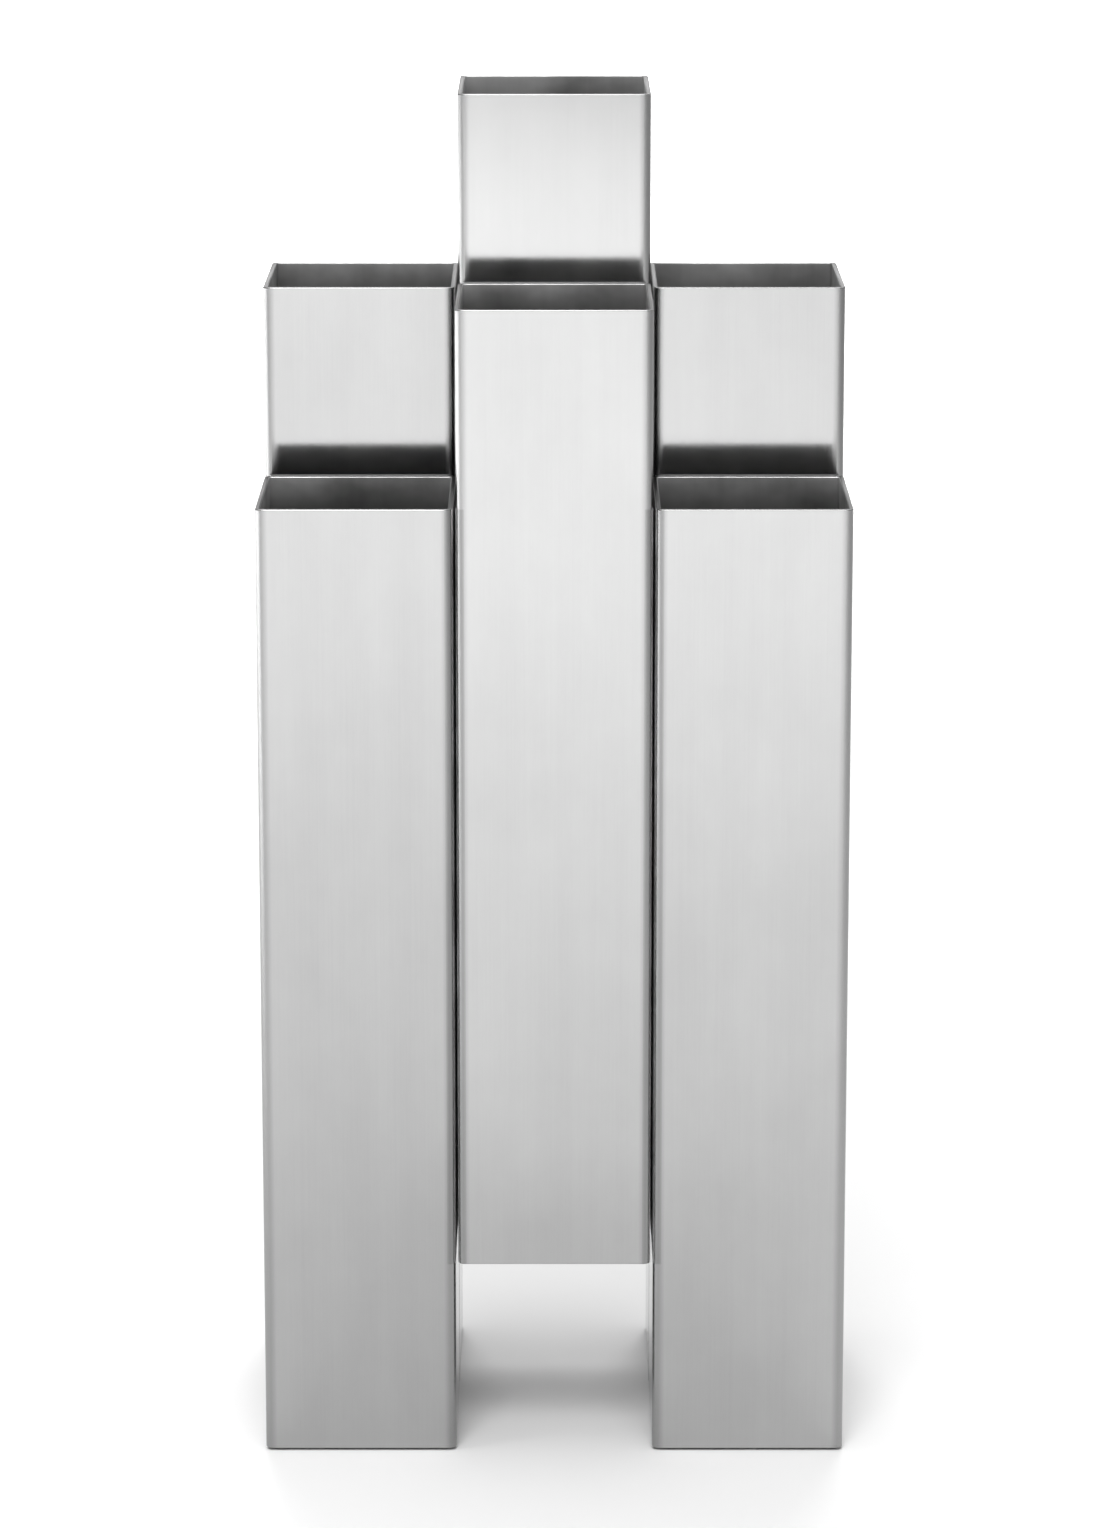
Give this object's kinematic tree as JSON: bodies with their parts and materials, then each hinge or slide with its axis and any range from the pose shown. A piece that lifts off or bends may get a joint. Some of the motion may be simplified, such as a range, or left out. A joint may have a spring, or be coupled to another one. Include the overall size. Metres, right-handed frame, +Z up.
{
  "type": "umbrella stand",
  "caption": "Umbrella stand of square brushed stainless tubes bolted side by side, stepped in height, each open at the top, with a lift-out drip cup.",
  "frame": {"origin": "centre of the footprint, on the floor that the rubber feet stand on", "axes": "+Z up, -Y towards the front row of shorter tubes, +X to the right as seen from the front"},
  "size_m": [0.242, 0.161, 0.56],
  "materials": {
    "tube_steel": "brushed along the tube's length",
    "plate_steel": "plain sheet",
    "fastener_steel": "bright, turned",
    "cup_plastic": "fine moulded texture",
    "foot_rubber": "matt",
    "washer_nylon": "matt"
  },
  "bodies": {
    "stand": {"front_left_tube": "tube_steel", "front_left_base_plate": "plate_steel", "front_left_feet": "foot_rubber", "front_centre_tube": "tube_steel", "front_centre_base_plate": "plate_steel", "front_right_tube": "tube_steel", "front_right_base_plate": "plate_steel", "front_right_feet": "foot_rubber", "rear_left_tube": "tube_steel", "rear_left_base_plate": "plate_steel", "rear_left_feet": "foot_rubber", "rear_centre_tube": "tube_steel", "rear_centre_base_plate": "plate_steel", "rear_right_tube": "tube_steel", "rear_right_base_plate": "plate_steel", "rear_right_feet": "foot_rubber", "front_left_joint_washers": "washer_nylon", "front_left_joint_nuts": "fastener_steel", "front_left_joint_screws": "fastener_steel", "front_right_joint_washers": "washer_nylon", "front_right_joint_nuts": "fastener_steel", "front_right_joint_screws": "fastener_steel", "rear_left_joint_washers": "washer_nylon", "rear_left_joint_nuts": "fastener_steel", "rear_left_joint_screws": "fastener_steel", "rear_right_joint_washers": "washer_nylon", "rear_right_joint_nuts": "fastener_steel", "rear_right_joint_screws": "fastener_steel", "left_side_joint_washers": "washer_nylon", "left_side_joint_nuts": "fastener_steel", "left_side_joint_screws": "fastener_steel", "centre_joint_washers": "washer_nylon", "centre_joint_nuts": "fastener_steel", "centre_joint_screws": "fastener_steel", "right_side_joint_washers": "washer_nylon", "right_side_joint_nuts": "fastener_steel", "right_side_joint_screws": "fastener_steel"},
    "front_left_cup": {"front_left_drip_cup": "cup_plastic"},
    "front_centre_cup": {"front_centre_drip_cup": "cup_plastic"},
    "front_right_cup": {"front_right_drip_cup": "cup_plastic"},
    "rear_left_cup": {"rear_left_drip_cup": "cup_plastic"},
    "rear_centre_cup": {"rear_centre_drip_cup": "cup_plastic"},
    "rear_right_cup": {"rear_right_drip_cup": "cup_plastic"}
  },
  "joints": [
    {"name": "front_left_cup_lift", "type": "slide", "parent": "stand", "child": "front_left_cup", "axis": [0, 0, 1], "range_m": [0, 0.4]},
    {"name": "front_centre_cup_lift", "type": "slide", "parent": "stand", "child": "front_centre_cup", "axis": [0, 0, 1], "range_m": [0, 0.4]},
    {"name": "front_right_cup_lift", "type": "slide", "parent": "stand", "child": "front_right_cup", "axis": [0, 0, 1], "range_m": [0, 0.4]},
    {"name": "rear_left_cup_lift", "type": "slide", "parent": "stand", "child": "rear_left_cup", "axis": [0, 0, 1], "range_m": [0, 0.48]},
    {"name": "rear_centre_cup_lift", "type": "slide", "parent": "stand", "child": "rear_centre_cup", "axis": [0, 0, 1], "range_m": [0, 0.48]},
    {"name": "rear_right_cup_lift", "type": "slide", "parent": "stand", "child": "rear_right_cup", "axis": [0, 0, 1], "range_m": [0, 0.48]}
  ]
}
